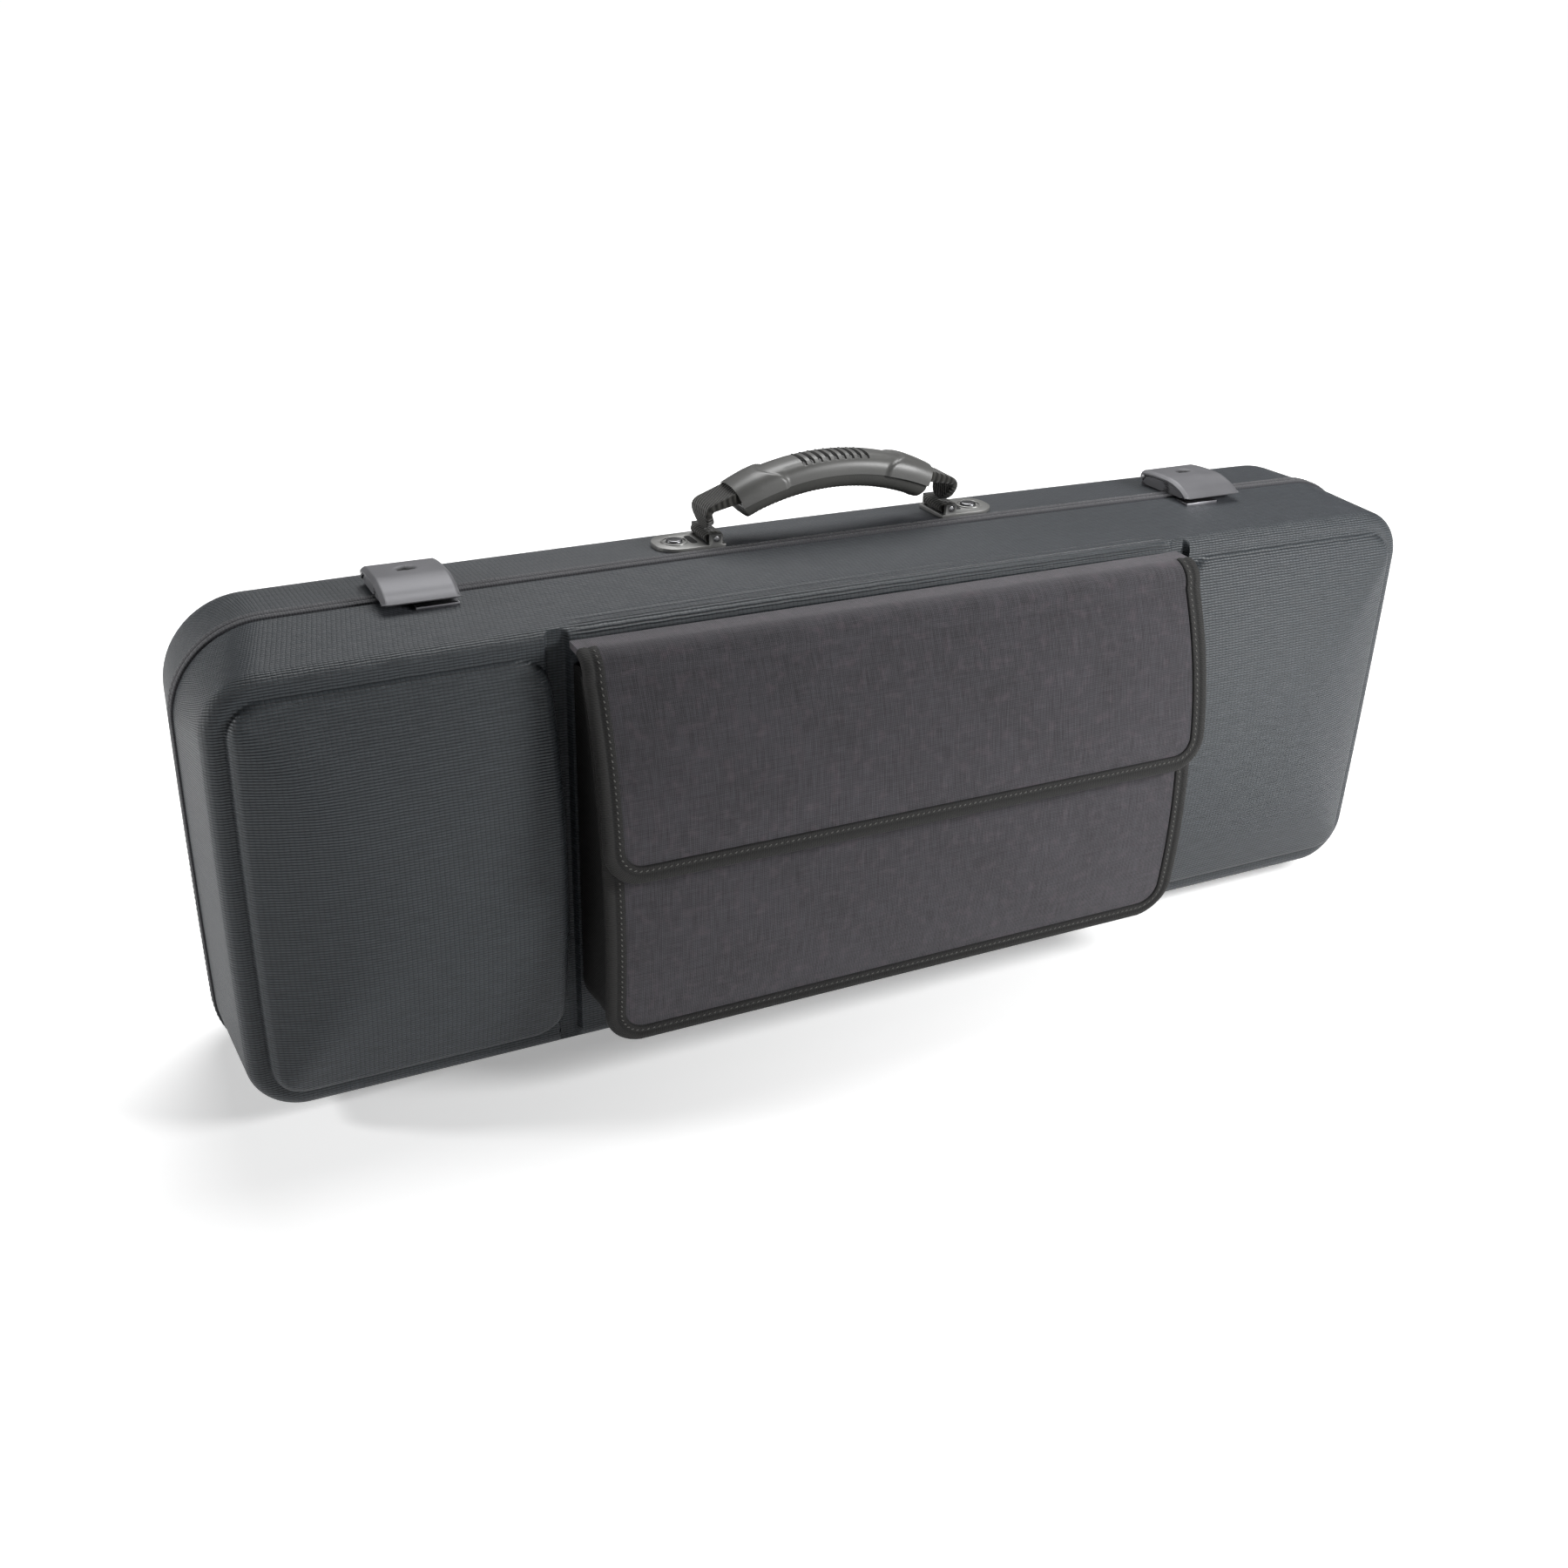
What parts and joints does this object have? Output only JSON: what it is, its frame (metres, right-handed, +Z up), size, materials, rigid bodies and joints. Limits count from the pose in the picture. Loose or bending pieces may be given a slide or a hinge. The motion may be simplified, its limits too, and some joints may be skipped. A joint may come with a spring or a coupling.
{
  "type": "violin case",
  "caption": "Oblong hard-shell violin case standing on its spine, with a hinged lid, lever latches, padded flap pocket, swinging carry handle and a fitted plush interior.",
  "frame": {"origin": "middle of the closed case's footprint on the plane of its spine feet", "axes": "+X along the case's length, -Y the lid and pocket side, +Y the back, +Z up to the handle"},
  "size_m": [0.7948, 0.1896, 0.3295],
  "materials": {
    "shell_cloth": "fine ribbed cloth bonded to the moulded shell",
    "rim_trim": "satin extruded edge trim",
    "rim_seal": "matt seal",
    "velour": "short plush pile",
    "foam": "foam core",
    "webbing": "woven webbing",
    "dark_metal": "black satin paint",
    "steel": "plain steel",
    "foot_rubber": "matt rubber",
    "gusset_cloth": "plain black woven cloth",
    "pocket_cloth": "melange woven cloth, padded",
    "binding_tape": "grosgrain binding tape",
    "hook_and_loop": "hook and loop tape",
    "bracket_metal": "dark satin",
    "grip_plastic": "satin moulded plastic",
    "grip_rubber": "fine-grained soft moulding",
    "latch_body": "moulded dark grey",
    "latch_cover": "satin grey",
    "keeper_metal": "satin",
    "holder_plastic": "black moulded"
  },
  "bodies": {
    "base": {"base_shell": "shell_cloth", "base_rim": "rim_trim", "base_lining": "velour", "violin_bed": "velour", "body_pads": "velour", "neck_cradle": "velour", "neck_strap": "webbing", "accessory_box": "velour", "hinge_base_leaves": "dark_metal", "hinge_pins": "steel", "base_feet": "foot_rubber", "handle_brackets": "bracket_metal", "handle_bars": "steel", "strap_loops": "webbing", "bracket_rivets": "bracket_metal", "latch_bases": "latch_body", "latch_pins": "steel"},
    "lid": {"lid_shell": "shell_cloth", "lid_rim": "rim_seal", "lid_lining": "velour", "lid_foam_cores": "foam", "hinge_lid_leaves": "dark_metal", "lid_feet": "foot_rubber", "pocket_gusset": "gusset_cloth", "pocket_front": "pocket_cloth", "pocket_binding": "binding_tape", "pocket_hook_strip": "hook_and_loop", "keeper_plates": "keeper_metal", "bow_holder_bases": "holder_plastic", "bow_sleeves": "velour"},
    "flap": {"pocket_flap": "pocket_cloth", "flap_binding": "binding_tape", "flap_loop_strip": "hook_and_loop"},
    "handle": {"grip_shell": "grip_plastic", "grip_underside": "grip_rubber", "handle_strap": "webbing"},
    "left_latch": {"left_latch_lever": "latch_cover"},
    "right_latch": {"right_latch_lever": "latch_cover"},
    "box_lid": {"accessory_lid": "velour", "accessory_pull_tab": "webbing"},
    "lower_spinner": {"lower_bow_spinner": "holder_plastic"},
    "upper_spinner": {"upper_bow_spinner": "holder_plastic"}
  },
  "joints": [
    {"name": "lid_hinge", "type": "hinge", "parent": "base", "child": "lid", "pos_m": [0, 0.02575, 0.0045], "axis": [1, 0, 0], "range_deg": [0, 95]},
    {"name": "flap_fold", "type": "hinge", "parent": "lid", "child": "flap", "pos_m": [0, -0.0428, 0.26775], "axis": [-1, 0, 0], "range_deg": [0, 100]},
    {"name": "handle_swing", "type": "hinge", "parent": "base", "child": "handle", "pos_m": [0, 0.04725, 0.30372], "axis": [1, 0, 0], "range_deg": [-60, 60]},
    {"name": "left_latch_lift", "type": "hinge", "parent": "base", "child": "left_latch", "pos_m": [-0.263, 0.05275, 0.28667], "axis": [-1, 0, 0], "range_deg": [0, 80]},
    {"name": "right_latch_lift", "type": "hinge", "parent": "base", "child": "right_latch", "pos_m": [0.263, 0.05275, 0.28667], "axis": [-1, 0, 0], "range_deg": [0, 80]},
    {"name": "box_lid_hinge", "type": "hinge", "parent": "base", "child": "box_lid", "pos_m": [0.3243, 0.04855, 0.1425], "axis": [0, 0, -1], "range_deg": [0, 90]},
    {"name": "lower_bow_turn", "type": "hinge", "parent": "lid", "child": "lower_spinner", "pos_m": [-0.3, -0.02, 0.1015], "axis": [0, 1, 0], "continuous": true},
    {"name": "upper_bow_turn", "type": "hinge", "parent": "lid", "child": "upper_spinner", "pos_m": [-0.3, -0.02, 0.1915], "axis": [0, 1, 0], "continuous": true}
  ]
}
